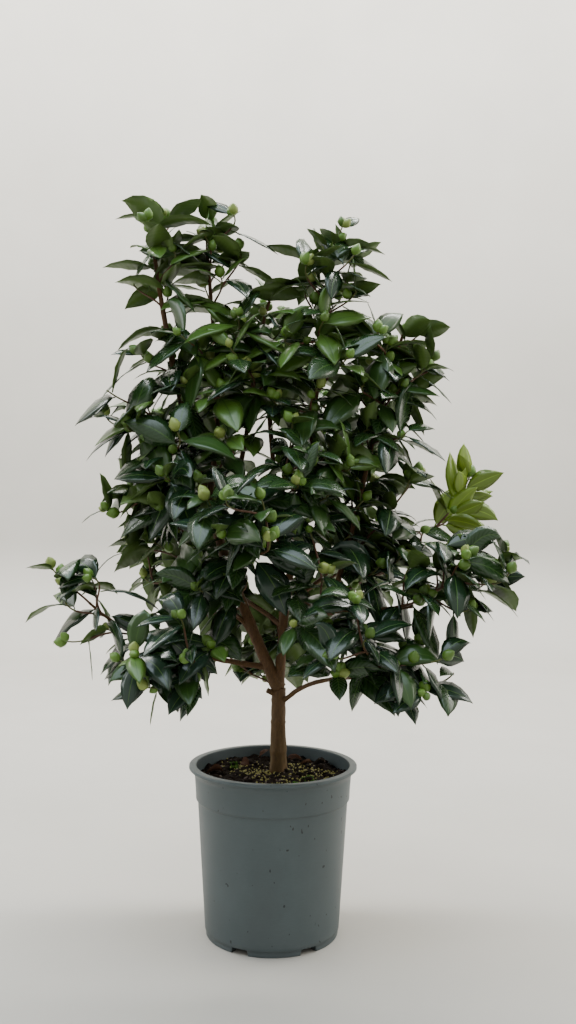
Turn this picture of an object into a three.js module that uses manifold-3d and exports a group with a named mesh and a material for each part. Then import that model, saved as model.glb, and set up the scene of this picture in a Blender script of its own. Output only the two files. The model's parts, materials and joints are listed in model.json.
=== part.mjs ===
// A camellia shrub in its nursery pot: a short bare trunk that forks into a few upright leaders and low
// side boughs, an open crown of separate foliage masses, and a tapered plastic pot full of compost.
// Units are millimetres, +Z is up and the front of the plant faces -Y. The origin is the centre of the
// pot's underside, on the surface that the pot stands on.
import * as THREE from "three";
import { mergeVertices } from "three/addons/utils/BufferGeometryUtils.js";
import Module from "manifold-3d";

const wasm = await Module();
wasm.setup();

// Driving dimensions of the pot.
const POT = {
  height: 258,
  rimRadius: 129.5,
  rimEdge: 5, // height of the lip's outer edge
  lipHollow: 14, // height over which the lip curves back into the collar
  collarRadius: 120.5,
  collarFoot: 208, // height of the step under the collar
  collarStep: 2.2,
  wallTopRadius: 115.8, // just under the collar
  baseRadius: 102.8,
  wall: 2.4,
  floor: 3,
  sides: 24,
};
const FOOT = {
  height: 9, // the pot stands on six feet, with a drain notch between each two
  width: 13,
  inset: 1.2,
  count: 6,
  notchWidth: 27,
  turn: 3, // degrees that the front foot stands off the front
  padRadius: 26, // the middle pad that keeps the floor of the pot from sagging
};
const DRAIN = { radius: 7, reach: 80, sides: 6 }; // one hole in the floor behind each notch

// Driving dimensions of the compost and the wood.
const COMPOST = { rim: 241, crown: 245.5, flatRadius: 24, ripple: 2.2 };
const TRUNK = { x: 8, top: 374, footRadius: 13, radius: 11.4, topRadius: 11.2, flare: 22, steps: 7 };
const LIMB_SIDES = 6;
const GAP = 0.4; // between solids that touch
const TWIST_ROUND_LOBES = 2.399963; // the golden angle, which spreads the lobes of a mass evenly

const BARK = { color: 0x7a5230, roughness: 0.8, metalness: 0 };
const LEAF = { color: 0x23401c, roughness: 0.35, metalness: 0 };
const PLASTIC = { color: 0x66716f, roughness: 0.55, metalness: 0 };
const SOIL = { color: 0x2a2019, roughness: 0.95, metalness: 0 };

const vec = (x, y, z) => new THREE.Vector3(x, y, z);

function limb(name, parent, at, leave, tip, arrive, radii, { holds = [0.33, 0.33], whole = false } = {}) {
  return { name, parent, at, leave, tip, arrive, radii, holds, whole };
}

function mass(name, centre, size, lobes, lean = [0, 90]) {
  return { name, centre, size, lobes, lean };
}

// A direction from a heading (degrees anticlockwise from +X, seen from above) and a rise above the level.
function direction([heading, rise]) {
  const h = THREE.MathUtils.degToRad(heading);
  const r = THREE.MathUtils.degToRad(rise);
  return vec(Math.cos(h) * Math.cos(r), Math.sin(h) * Math.cos(r), Math.sin(r));
}

// ---- Solids ----

// A manifold-3d solid from a closed three.js geometry.
function solidOf(geometry) {
  const bare = geometry.index ? geometry.toNonIndexed() : geometry.clone();
  bare.deleteAttribute("normal");
  bare.deleteAttribute("uv");
  const merged = mergeVertices(bare, 1e-3);
  return new wasm.Manifold(
    new wasm.Mesh({
      numProp: 3,
      vertProperties: merged.attributes.position.array,
      triVerts: new Uint32Array(merged.index.array),
    }),
  );
}

function geometryOf(solid) {
  const mesh = solid.getMesh();
  const geometry = new THREE.BufferGeometry();
  geometry.setAttribute("position", new THREE.BufferAttribute(mesh.vertProperties, 3));
  geometry.setIndex(new THREE.BufferAttribute(mesh.triVerts, 1));
  return geometry;
}

function named(name, geometry, finish) {
  const mesh = new THREE.Mesh(geometry, new THREE.MeshStandardMaterial(finish));
  mesh.name = name;
  return mesh;
}

// The body of a cut solid that reaches closest to a point, such as the foot of a limb.
function bodyNearest(solid, point) {
  const reach = (body) => {
    const box = new THREE.Box3(vec(...body.boundingBox().min), vec(...body.boundingBox().max));
    return box.distanceToPoint(point);
  };
  return solid.decompose().sort((a, b) => reach(a) - reach(b) || b.volume() - a.volume())[0];
}

function largestBody(solid) {
  return solid.decompose().sort((a, b) => b.volume() - a.volume())[0];
}

// ---- Pot and compost ----

// The radius of the pot's outer wall at a height below its collar.
function wallRadius(z) {
  return THREE.MathUtils.mapLinear(z, 0, POT.collarFoot, POT.baseRadius, POT.wallTopRadius);
}

// The radius of its inner wall at a height, which widens more above the foot of the collar.
function innerRadius(z) {
  if (z < POT.collarFoot) return wallRadius(z) - POT.wall;
  const foot = POT.wallTopRadius - POT.wall;
  return THREE.MathUtils.mapLinear(z, POT.collarFoot, POT.height, foot, POT.collarRadius - POT.wall);
}

function potSolid() {
  const lipFoot = POT.height - POT.rimEdge;
  const hollowFoot = lipFoot - POT.lipHollow;
  const floorTop = FOOT.height + POT.floor;
  const footRadius = wallRadius(FOOT.height) - FOOT.inset;
  const profile = [
    [0, 0],
    [FOOT.padRadius, 0],
    [FOOT.padRadius, FOOT.height],
    [footRadius - FOOT.width, FOOT.height],
    [footRadius - FOOT.width, 0],
    [footRadius, 0],
    [footRadius, FOOT.height],
    [wallRadius(FOOT.height), FOOT.height + 1],
    [POT.wallTopRadius, POT.collarFoot - 3],
    [POT.wallTopRadius + POT.collarStep, POT.collarFoot],
    [POT.collarRadius, hollowFoot],
    ...[0.5, 1].map((t) => [
      THREE.MathUtils.lerp(POT.collarRadius, POT.rimRadius, t ** 2),
      THREE.MathUtils.lerp(hollowFoot, lipFoot, t),
    ]),
    [POT.rimRadius, POT.height],
    [innerRadius(POT.height), POT.height],
    [innerRadius(POT.collarFoot), POT.collarFoot],
    [innerRadius(floorTop), floorTop],
    [0, floorTop],
  ].map(([r, z]) => new THREE.Vector2(r, z));
  let pot = solidOf(new THREE.LatheGeometry(profile, POT.sides).rotateX(Math.PI / 2));
  const front = THREE.MathUtils.degToRad(-90 + FOOT.turn);
  for (let i = 0; i < FOOT.count; i++) {
    const turn = front + ((i + 0.5) * 2 * Math.PI) / FOOT.count;
    const notch = new THREE.BoxGeometry(3 * FOOT.width, FOOT.notchWidth, 2 * FOOT.height);
    notch.translate(footRadius, 0, -0.1).rotateZ(turn);
    const drain = new THREE.CylinderGeometry(DRAIN.radius, DRAIN.radius, 3 * POT.floor, DRAIN.sides);
    drain.rotateX(Math.PI / 2).translate(DRAIN.reach, 0, floorTop - POT.floor / 2).rotateZ(turn);
    pot = pot.subtract(solidOf(notch)).subtract(solidOf(drain));
  }
  return pot;
}

// The compost fills the pot to just under its rim, rises a little to the trunk and lies flat under it.
function compostSolid() {
  const foot = FOOT.height + POT.floor + GAP;
  const edge = innerRadius(COMPOST.rim) - GAP;
  const profile = [
    [0, foot],
    [innerRadius(foot) - GAP, foot],
    [innerRadius(POT.collarFoot) - GAP, POT.collarFoot],
    [edge, COMPOST.rim],
    [edge * 0.8, THREE.MathUtils.lerp(COMPOST.rim, COMPOST.crown, 0.3)],
    [edge * 0.5, THREE.MathUtils.lerp(COMPOST.rim, COMPOST.crown, 0.7)],
    [COMPOST.flatRadius, COMPOST.crown],
    [0, COMPOST.crown],
  ].map(([r, z]) => new THREE.Vector2(r, z));
  const geometry = new THREE.LatheGeometry(profile, POT.sides).rotateX(Math.PI / 2);
  const places = geometry.attributes.position;
  for (let i = 0; i < places.count; i++) {
    const point = vec().fromBufferAttribute(places, i);
    const reach = Math.hypot(point.x, point.y);
    const open = reach > COMPOST.flatRadius + 1 && reach < edge - 1 && point.z > COMPOST.rim;
    if (open) places.setZ(i, point.z + COMPOST.ripple * Math.sin(point.x / 13) * Math.cos(point.y / 11));
  }
  return solidOf(geometry);
}

// ---- Trunk and limbs ----

// A round limb along a curve, tapering from one radius to the other, with flat ends. Each ring of its
// wall lies square to the curve, and the frame is carried along so that the wall doesn't twist.
function taperedTube(curve, radiusAt, steps) {
  const frames = curve.computeFrenetFrames(steps, false);
  const places = [];
  const faces = [];
  for (let i = 0; i <= steps; i++) {
    const centre = curve.getPointAt(i / steps);
    for (let j = 0; j < LIMB_SIDES; j++) {
      const angle = (j / LIMB_SIDES) * 2 * Math.PI;
      const point = centre
        .clone()
        .addScaledVector(frames.normals[i], Math.cos(angle) * radiusAt(i / steps))
        .addScaledVector(frames.binormals[i], Math.sin(angle) * radiusAt(i / steps));
      places.push(...point.toArray());
      if (i === steps) continue;
      const a = i * LIMB_SIDES + j;
      const b = i * LIMB_SIDES + ((j + 1) % LIMB_SIDES);
      faces.push(a, b, b + LIMB_SIDES, a, b + LIMB_SIDES, a + LIMB_SIDES);
    }
  }
  const last = steps * LIMB_SIDES;
  for (let j = 1; j < LIMB_SIDES - 1; j++) {
    faces.push(0, j + 1, j, last, last + j, last + j + 1);
  }
  const geometry = new THREE.BufferGeometry();
  geometry.setAttribute("position", new THREE.Float32BufferAttribute(places, 3));
  geometry.setIndex(faces);
  return solidOf(geometry);
}

// Each limb leaves a share `at` of the way up its parent, at a heading and rise in degrees, and arrives at
// its tip at another. The two holds are how far it keeps to each, as shares of its length. Leaders run
// whole up through the foliage, and the others end where they enter a mass.
const LIMBS = [
  limb("left_leader", "trunk", 1, [178, 64], [-188, -20, 1046], [176, 82], [9.5, 3], { whole: true }),
  limb("right_leader", "trunk", 1, [350, 92], [80, -25, 1046], [0, 86], [7.5, 2.6], {
    holds: [0.18, 0.6],
    whole: true,
  }),
  limb("back_leader", "trunk", 0.98, [80, 58], [-25, 160, 1000], [100, 84], [7, 2.6], { whole: true }),
  limb("middle_leader", "left_leader", 0.44, [40, 72], [-110, 20, 1076], [150, 88], [5, 2.4], { whole: true }),
  limb("centre_leader", "left_leader", 0.38, [10, 58], [-8, 10, 985], [10, 70], [4.5, 2.2], { whole: true }),
  limb("right_limb", "right_leader", 0.12, [345, 24], [84, -14, 493], [345, 4], [6.5, 5.6], { whole: true }),
  limb("outer_leader", "right_limb", 1, [10, 72], [200, 25, 930], [15, 70], [5.2, 2.2], { whole: true }),
  limb("right_bough", "right_limb", 0.9, [340, 4], [268, -130, 528], [340, 14], [4.8, 2.6]),
  limb("pale_bough", "outer_leader", 0.2, [20, 10], [250, 60, 612], [12, 48], [3.6, 2.2]),
  limb("low_right_bough", "trunk", 0.8, [325, 46], [182, -120, 412], [330, 4], [4.2, 2.2]),
  limb("low_left_bough", "left_leader", 0.05, [190, 8], [-286, -70, 520], [190, 46], [4.6, 1.8]),
  limb("left_bough", "left_leader", 0.12, [185, 45], [-180, -40, 612], [180, 40], [5, 2.4]),
  limb("left_wing_bough", "left_leader", 0.42, [190, 35], [-210, -50, 738], [185, 45], [3.6, 2]),
  limb("front_bough", "left_leader", 0.2, [285, 40], [-55, -160, 610], [275, 25], [4.6, 2.2]),
  limb("front_right_bough", "right_limb", 0.35, [300, 20], [84, -150, 520], [295, 15], [4.2, 2.2]),
  limb("back_left_bough", "back_leader", 0.16, [160, 30], [-150, 190, 600], [140, 35], [4.6, 2.2]),
  limb("back_right_bough", "back_leader", 0.2, [30, 30], [150, 190, 610], [40, 35], [4.6, 2.2]),
  limb("high_back_left_bough", "back_leader", 0.42, [170, 40], [-130, 150, 740], [165, 30], [3.8, 2]),
  limb("high_back_right_bough", "back_leader", 0.46, [20, 40], [100, 160, 770], [20, 30], [3.8, 2]),
  limb("low_back_bough", "trunk", 0.6, [100, 30], [10, 200, 470], [90, 10], [4.2, 2.2]),
];
const STEP_LENGTH = 80; // along a limb, between the rings of its wall

// The curve of a limb: a cubic Bezier from a point inside its parent to its tip.
function limbCurve({ at, leave, tip, arrive, holds }, parentCurve) {
  const foot = parentCurve.getPointAt(at);
  const end = vec(...tip);
  const reach = foot.distanceTo(end);
  return new THREE.CubicBezierCurve3(
    foot,
    foot.clone().addScaledVector(direction(leave), holds[0] * reach),
    end.clone().addScaledVector(direction(arrive), -holds[1] * reach),
    end,
  );
}

function trunkCurve() {
  return new THREE.LineCurve3(vec(TRUNK.x, 0, COMPOST.crown + GAP), vec(TRUNK.x, 0, TRUNK.top));
}

function trunkRadius(t) {
  const height = t * (TRUNK.top - COMPOST.crown);
  const flare = Math.max(0, 1 - height / TRUNK.flare) ** 2;
  return THREE.MathUtils.lerp(TRUNK.radius, TRUNK.topRadius, t) + (TRUNK.footRadius - TRUNK.radius) * flare;
}

// The trunk and limbs as {curve, solid, grown}, where grown is the solid a gap larger all round.
function buildWood() {
  const wood = new Map();
  const over = GAP / (TRUNK.top - COMPOST.crown);
  const tall = new THREE.LineCurve3(trunkCurve().v1, trunkCurve().getPointAt(1).add(vec(0, 0, GAP)));
  wood.set("trunk", {
    curve: trunkCurve(),
    solid: taperedTube(trunkCurve(), trunkRadius, TRUNK.steps),
    grown: taperedTube(tall, (t) => trunkRadius(t * (1 + over)) + GAP, TRUNK.steps),
    whole: true,
  });
  for (const limb of LIMBS) {
    const curve = limbCurve(limb, wood.get(limb.parent).curve);
    const steps = Math.max(4, Math.round(curve.getLength() / STEP_LENGTH));
    const radius = (t) => THREE.MathUtils.lerp(limb.radii[0], limb.radii[1], t);
    let solid = taperedTube(curve, radius, steps);
    for (const other of wood.values()) solid = solid.subtract(other.grown);
    wood.set(limb.name, {
      curve,
      solid: largestBody(solid),
      grown: taperedTube(curve, (t) => radius(t) + GAP, steps),
      whole: limb.whole,
    });
  }
  return wood;
}

// ---- Foliage ----

// Each mass by its centre, its half width, depth and height, its number of lobes, and the heading and
// rise that its long axis leans to, which is upright if left out.
const MASSES = [
  mass("left_spire", [-192, -20, 1044], [66, 62, 100], 5),
  mass("middle_spire", [-94, 12, 1048], [70, 66, 102], 5),
  mass("left_shoulder", [-166, -45, 885], [76, 80, 72], 5),
  mass("left_wing", [-226, -55, 782], [76, 74, 62], 4),
  mass("left_flank", [-206, -30, 650], [74, 92, 76], 5),
  mass("left_arm", [-306, -70, 544], [80, 56, 52], 4),
  mass("left_elbow", [-268, -80, 452], [62, 52, 44], 4),
  mass("left_skirt", [-146, -130, 440], [88, 82, 82], 5),
  mass("left_core", [-118, -75, 744], [74, 88, 86], 5),
  mass("left_breast", [-96, -70, 548], [74, 84, 74], 4),
  mass("front_breast", [-46, -168, 636], [94, 74, 72], 5),
  mass("centre_crown", [-28, -15, 872], [84, 100, 110], 6),
  mass("right_spire", [86, -25, 1022], [84, 72, 82], 5),
  mass("right_shoulder", [94, -45, 880], [84, 96, 76], 5),
  mass("outer_spire", [206, 20, 890], [68, 80, 94], 5),
  mass("right_flank", [178, 0, 730], [82, 102, 82], 5),
  mass("right_core", [58, -52, 702], [82, 98, 112], 5),
  mass("pale_shoot", [296, 60, 672], [54, 48, 88], 4, [10, 64]),
  mass("right_arm", [274, -112, 552], [106, 78, 66], 6),
  mass("right_skirt", [186, -140, 428], [96, 80, 68], 5),
  mass("right_breast", [78, -165, 496], [84, 80, 96], 5),
  mass("right_inner", [140, 24, 596], [104, 96, 76], 5),
  mass("back_crown", [-30, 172, 900], [100, 92, 104], 6),
  mass("back_right_crown", [104, 160, 760], [98, 92, 98], 6),
  mass("back_left_crown", [-142, 150, 744], [98, 92, 98], 6),
  mass("back_left_skirt", [-158, 172, 556], [100, 94, 92], 6),
  mass("back_right_skirt", [146, 192, 574], [96, 90, 88], 6),
  mass("low_back_skirt", [-16, 140, 436], [104, 96, 90], 5),
];
const MASS_DETAIL = 2;
const LOBE_HEIGHT = 0.34; // how far a lobe stands out, as a share of the mass's size
const LOBE_SHARPNESS = 5;
const BODY_SHARE = 0.86; // the size of a mass between its lobes

// An uneven mass: an icosphere whose radius swells towards each of its lobes, drawn out to its size.
function massSolid({ centre, size, lean, lobes }, order, gap = 0) {
  const geometry = new THREE.IcosahedronGeometry(1, MASS_DETAIL);
  const places = geometry.attributes.position;
  const heads = Array.from({ length: lobes }, (_, i) => {
    const height = 1 - (2 * (i + 0.5)) / lobes;
    const angle = i * TWIST_ROUND_LOBES + order * 1.7;
    const flat = Math.sqrt(1 - height * height);
    return vec(flat * Math.cos(angle), flat * Math.sin(angle), height);
  });
  const turn = new THREE.Quaternion().setFromUnitVectors(vec(0, 0, 1), direction(lean));
  for (let i = 0; i < places.count; i++) {
    const point = vec().fromBufferAttribute(places, i).normalize();
    const swell = heads.reduce((sum, head) => sum + Math.exp(LOBE_SHARPNESS * (point.dot(head) - 1)), 0);
    const radius = BODY_SHARE * (1 + LOBE_HEIGHT * (Math.min(swell, 1) - 0.4));
    point.multiplyScalar(radius).multiply(vec(...size.map((half) => half + gap)));
    point.applyQuaternion(turn).add(vec(...centre));
    places.setXYZ(i, point.x, point.y, point.z);
  }
  return solidOf(geometry);
}

// The masses, each cut back from the wood that runs whole and from the masses before it.
function buildFoliage(wood) {
  const masses = new Map();
  MASSES.forEach((mass, order) => {
    let solid = massSolid(mass, order);
    for (const limb of wood.values()) if (limb.whole) solid = solid.subtract(limb.grown);
    for (const other of masses.values()) solid = solid.subtract(other.grown);
    masses.set(mass.name, {
      solid: largestBody(solid),
      grown: massSolid(mass, order, 2 * GAP),
    });
  });
  return masses;
}

// A side bough ends where it first enters a mass.
function trimBoughs(wood, masses) {
  for (const limb of wood.values()) {
    if (limb.whole) continue;
    let solid = limb.solid;
    for (const mass of masses.values()) solid = solid.subtract(mass.grown);
    limb.solid = bodyNearest(solid, limb.curve.getPointAt(0));
  }
}

const group = new THREE.Group();
group.add(named("pot", geometryOf(potSolid()), PLASTIC));
group.add(named("compost", geometryOf(compostSolid()), SOIL));
const wood = buildWood();
const masses = buildFoliage(wood);
trimBoughs(wood, masses);
for (const [name, { solid }] of wood) group.add(named(name, geometryOf(solid), BARK));
for (const [name, { solid }] of masses) group.add(named(name, geometryOf(solid), LEAF));

export default group;
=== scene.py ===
import functools
import json
import math

import bpy
import numpy as np
from bpy.props import FloatProperty, FloatVectorProperty, IntProperty, PointerProperty
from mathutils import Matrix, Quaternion, Vector

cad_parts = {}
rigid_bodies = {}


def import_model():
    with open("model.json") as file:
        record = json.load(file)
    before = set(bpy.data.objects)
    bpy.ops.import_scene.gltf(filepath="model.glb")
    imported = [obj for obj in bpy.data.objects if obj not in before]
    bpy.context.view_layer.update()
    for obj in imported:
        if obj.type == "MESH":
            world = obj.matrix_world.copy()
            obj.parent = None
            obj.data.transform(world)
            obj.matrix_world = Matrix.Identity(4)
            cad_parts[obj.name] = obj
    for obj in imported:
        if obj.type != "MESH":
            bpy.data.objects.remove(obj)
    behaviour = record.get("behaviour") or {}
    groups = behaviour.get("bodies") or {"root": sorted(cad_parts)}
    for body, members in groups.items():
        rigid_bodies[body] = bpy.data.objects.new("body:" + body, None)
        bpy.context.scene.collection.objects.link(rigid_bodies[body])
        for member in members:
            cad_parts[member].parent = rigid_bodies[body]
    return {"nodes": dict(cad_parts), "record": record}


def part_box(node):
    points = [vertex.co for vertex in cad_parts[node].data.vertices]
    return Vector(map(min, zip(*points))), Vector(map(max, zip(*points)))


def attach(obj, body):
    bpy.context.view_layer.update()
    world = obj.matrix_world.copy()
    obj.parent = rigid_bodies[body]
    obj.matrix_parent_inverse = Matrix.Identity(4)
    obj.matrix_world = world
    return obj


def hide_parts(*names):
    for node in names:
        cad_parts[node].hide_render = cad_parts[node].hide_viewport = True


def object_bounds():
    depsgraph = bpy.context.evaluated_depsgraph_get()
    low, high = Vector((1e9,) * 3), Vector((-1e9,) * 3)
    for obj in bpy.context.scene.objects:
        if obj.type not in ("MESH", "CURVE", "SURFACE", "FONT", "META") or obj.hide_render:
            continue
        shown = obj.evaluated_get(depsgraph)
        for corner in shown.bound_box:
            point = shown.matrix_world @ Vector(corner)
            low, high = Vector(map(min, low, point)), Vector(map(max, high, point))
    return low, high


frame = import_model()
cad_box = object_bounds()

bl_info = {
    "name": "Potted camellia",
    "version": (1, 0, 0),
    "blender": (4, 5, 0),
    "location": "3D View > Sidebar > Camellia",
    "description": "Grows a camellia shrub with glossy leaves and green buds in its nursery pot",
    "category": "Add Mesh",
}

MM = 0.001
UP = np.array([0.0, 0.0, 1.0])
GOLDEN_ANGLE = math.radians(137.5)
TO_LIGHT = np.array([0.15, -0.98, 0.1])  # the way that the young shoot turns its leaves
LEAF_MAP = "OFBake"  # the UV map that the leaves' veins follow: along the leaf, and round its two sides


# ---- Settings ----


def colour_setting(name, description, default):
    """A colour that the user can change."""
    return FloatVectorProperty(
        name=name, description=description, default=default, subtype="COLOR", min=0.0, max=1.0
    )


def length_setting(name, description, default):
    """A length in metres that the user can change."""
    return FloatProperty(
        name=name, description=description, default=default, unit="LENGTH", precision=4, min=0.0
    )


class CamelliaPotSettings(bpy.types.PropertyGroup):
    wall: length_setting("Wall", "Thickness of the pot's wall", 2.4 * MM)
    lip: length_setting("Lip", "Height of the lip's outer edge", 5 * MM)
    foot: length_setting("Foot", "Height of the feet that the pot stands on", 9 * MM)
    plastic: colour_setting("Plastic", "Colour of the pot", (0.063, 0.082, 0.0865))
    compost: colour_setting("Compost", "Colour of the damp compost", (0.0065, 0.0042, 0.0028))


class CamelliaWoodSettings(bpy.types.PropertyGroup):
    relief: FloatProperty(
        name="Relief",
        description="Depth of the bark's ridges as a share of the radius",
        default=0.055,
        min=0.0,
    )
    old_bark: colour_setting("Old bark", "Colour of the trunk", (0.070, 0.035, 0.0105))
    young_bark: colour_setting("Young bark", "Colour of the twigs", (0.095, 0.044, 0.022))


class CamelliaFoliageSettings(bpy.types.PropertyGroup):
    seed: IntProperty(name="Seed", description="Picks another such plant", default=53, min=0)
    shoot_spacing: length_setting("Shoot spacing", "Least distance between two shoots' tips", 51 * MM)
    leaf_length: length_setting("Leaf length", "Length of a full-grown leaf with its stalk", 89 * MM)
    leaf_width: FloatProperty(
        name="Leaf width",
        description="Width of a leaf as a share of its length",
        default=0.455,
        min=0.1,
        max=1.0,
    )
    bud_size: length_setting("Bud size", "Diameter of a flower bud", 15 * MM)
    dark_leaf: colour_setting("Dark leaf", "Colour of most leaves", (0.0085, 0.027, 0.0095))
    mid_leaf: colour_setting("Mid leaf", "Colour of the fresher sprays", (0.024, 0.064, 0.011))
    # the lightest green, dealt out more often high in the crown as painted light from above
    bright_leaf: colour_setting("Bright leaf", "Colour of the sunniest sprays", (0.060, 0.130, 0.016))
    young_leaf: colour_setting("Young leaf", "Colour of the pale shoot's leaves", (0.170, 0.260, 0.022))
    # the leaf's real paler back, made lighter still as painted light shining through the leaf
    underside: colour_setting("Underside", "Colour of the backs of the leaves", (0.075, 0.135, 0.022))
    bud: colour_setting("Bud", "Colour of the flower buds", (0.1, 0.2, 0.024))


class CamelliaStageSettings(bpy.types.PropertyGroup):
    floor: colour_setting("Floor", "Colour of the floor and the wall behind it", (0.41, 0.396, 0.362))
    fill: colour_setting("Fill light", "Light that comes from all around", (0.33, 0.33, 0.32))


# ---- Arrays ----


def unit(vectors):
    """Each vector divided by its length."""
    return vectors / np.maximum(np.linalg.norm(vectors, axis=-1, keepdims=True), 1e-9)


def square_to(vectors, ways):
    """The part of each vector at right angles to its way: v - (v . w) w, made one unit long."""
    return unit(vectors - (vectors * ways).sum(-1, keepdims=True) * ways)


def ease(low, high, values):
    """0 below low, 1 above high, and 3t^2 - 2t^3 between."""
    t = np.clip((values - low) / (high - low), 0, 1)
    return t * t * (3 - 2 * t)


def ripples(points, size, seed, waves=24):
    """Smooth bumps about `size` across and mostly within -2..2: a sum of sine waves, each in a random
    direction with a random phase and a wavelength from 0.7 to 1.6 times the size."""
    rng = np.random.default_rng(seed)
    ways = unit(rng.normal(size=(waves, 3))) * 2 * math.pi / size / rng.uniform(0.7, 1.6, (waves, 1))
    phases = rng.uniform(0, 2 * math.pi, waves)
    return np.sin(points @ ways.T + phases).sum(-1) / math.sqrt(waves / 2)


def around_circle(count):
    """Angles evenly spaced round a circle, from 0 up."""
    return np.arange(count) / count * 2 * math.pi


def turned(angles, across, above):
    """The directions at these angles round a path: cos(a) across + sin(a) above."""
    return np.cos(angles)[..., None] * across + np.sin(angles)[..., None] * above


def cells(rows, columns):
    """The row and the column of each cell of a grid."""
    return np.meshgrid(np.arange(rows), np.arange(columns), indexing="ij")


def bezier(foot, leave, arrive, tip, shares):
    """Points on the cubic Bezier curve from foot to tip, past the handles leave and arrive:
    (1-t)^3 foot + 3(1-t)^2 t leave + 3(1-t) t^2 arrive + t^3 tip."""
    t = shares[:, None]
    return (1 - t) ** 3 * foot + 3 * (1 - t) ** 2 * t * leave + 3 * (1 - t) * t**2 * arrive + t**3 * tip


def lengths_along(path):
    """How far along the path each of its points lies."""
    steps = np.linalg.norm(np.diff(path, axis=0), axis=1)
    return np.concatenate([[0], np.cumsum(steps)])


def at_length(path, places):
    """The points that lie the given lengths along a path."""
    along = lengths_along(path)
    return np.stack([np.interp(places, along, path[:, i]) for i in range(3)], -1)


def carried_axes(paths):
    """Tangents, sides and tops along paths of shape (..., steps, 3). The first side is level and square
    to the path, each next one is the last made square to the new tangent, and top = tangent x side."""
    tangents = unit(np.gradient(paths, axis=-2))
    level = np.where(np.abs(tangents[..., :1, 2:]) < 0.95, UP, np.array([1.0, 0, 0]))
    sides = [unit(np.cross(tangents[..., 0, :], level[..., 0, :]))]
    for step in range(1, paths.shape[-2]):
        sides.append(square_to(sides[-1], tangents[..., step, :]))
    sides = np.stack(sides, -2)
    return tangents, sides, np.cross(tangents, sides)


# ---- Meshes ----


def tube_faces(copies, rings, sides):
    """The faces of `copies` closed tubes, each of rings x sides vertices followed by its two end points:
    quads between neighbouring rings, and then a fan from each end point."""
    ring, side = cells(rings - 1, sides)
    after = (side + 1) % sides
    quads = np.stack([ring * sides + side, ring * sides + after], -1)
    quads = np.concatenate([quads, quads[..., ::-1] + sides], -1).reshape(-1, 4)
    around = np.arange(sides)
    beside = (around + 1) % sides
    last = (rings - 1) * sides
    foot, tip = rings * sides, rings * sides + 1
    foot_fan = np.stack([np.full(sides, foot), beside, around], -1)
    tip_fan = np.stack([np.full(sides, tip), last + around, last + beside], -1)
    fans = np.concatenate([foot_fan, tip_fan])
    starts = np.arange(copies)[:, None, None] * (rings * sides + 2)
    return (quads + starts).reshape(-1, 4), (fans + starts).reshape(-1, 3)


def tube_points(paths, radii, sides, flat=1.0):
    """Closed tubes along paths of shape (copies, rings, 3): each ring is an ellipse of the given radius
    across and flat times that through, square to the path, and each end closes to a point on it."""
    _, across, top = carried_axes(paths)
    if radii.ndim == 2:
        radii = np.repeat(radii[..., None], sides, -1)
    spokes = turned(around_circle(sides), across[:, :, None], flat * top[:, :, None])
    rings = paths[:, :, None] + radii[..., None] * spokes
    return np.concatenate([rings.reshape(len(paths), -1, 3), paths[:, :1], paths[:, -1:]], 1)


def round_surface(radii, heights, around):
    """A surface of revolution about Z, closed on the axis at both ends. radii and heights have the
    shape (rings, around): the point of ring i at angle a is (r cos a, r sin a, h)."""
    angles = around_circle(around)
    points = np.stack([radii * np.cos(angles), radii * np.sin(angles), heights], -1).reshape(-1, 3)
    ends = [[0, 0, heights[0].mean()], [0, 0, heights[-1].mean()]]
    return np.concatenate([points, ends])


def put_piece(name, points, face_sets, materials, slots=None, uvs=None):
    """Makes a smooth-shaded mesh object at the origin. slots and uvs are one array for each face set."""
    mesh = bpy.data.meshes.new(name)
    corners = np.concatenate([faces.ravel() for faces in face_sets])
    sizes = np.concatenate([np.full(len(faces), faces.shape[1]) for faces in face_sets])
    mesh.vertices.add(len(points))
    mesh.vertices.foreach_set("co", points.astype(np.float32).ravel())
    mesh.loops.add(len(corners))
    mesh.loops.foreach_set("vertex_index", corners.astype(np.int32))
    mesh.polygons.add(len(sizes))
    mesh.polygons.foreach_set("loop_start", (np.cumsum(sizes) - sizes).astype(np.int32))
    for material in materials:
        mesh.materials.append(material)
    if slots is not None:
        mesh.polygons.foreach_set("material_index", np.concatenate(slots).astype(np.int32))
    if uvs is not None:
        layer = mesh.uv_layers.new(name=LEAF_MAP)
        layer.data.foreach_set("uv", np.concatenate([uv.reshape(-1, 2) for uv in uvs]).ravel())
    mesh.update(calc_edges=True)
    mesh.shade_smooth()
    piece = bpy.data.objects.new(name, mesh)
    bpy.context.scene.collection.objects.link(piece)
    return piece


def join_sets(parts):
    """Joins (points, face sets) parts into one, moving each part's face numbers past those before it."""
    starts = np.cumsum([0] + [len(points) for points, _ in parts])
    points = np.concatenate([points for points, _ in parts])
    sets = [faces + start for (_, group), start in zip(parts, starts) for faces in group]
    return points, sets


# ---- Materials ----


def shader_of(name, colour, roughness, specular=0.5, coat=0.0):
    """A new material and its Principled shader, with the values that are the same all over."""
    material = bpy.data.materials.new(name)
    material.use_nodes = True
    shader = material.node_tree.nodes["Principled BSDF"]
    shader.inputs["Base Color"].default_value = (*colour, 1)
    shader.inputs["Roughness"].default_value = roughness
    shader.inputs["Specular IOR Level"].default_value = specular
    shader.inputs["Coat Weight"].default_value = coat
    shader.inputs["Coat Roughness"].default_value = 0.2
    material.diffuse_color = (*colour, 1)
    return material, shader


def feed(socket, value):
    """Sets a socket to a number or colour, or links another node's output to it."""
    if isinstance(value, bpy.types.NodeSocket):
        socket.id_data.links.new(value, socket)
    else:
        socket.default_value = value


def node(material, kind, **values):
    """A new node with values fed to its sockets. A space in a socket's name is written as _."""
    made = material.node_tree.nodes.new(kind)
    for name, value in values.items():
        feed(made.inputs[name.replace("_", " ")], value)
    return made


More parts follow.
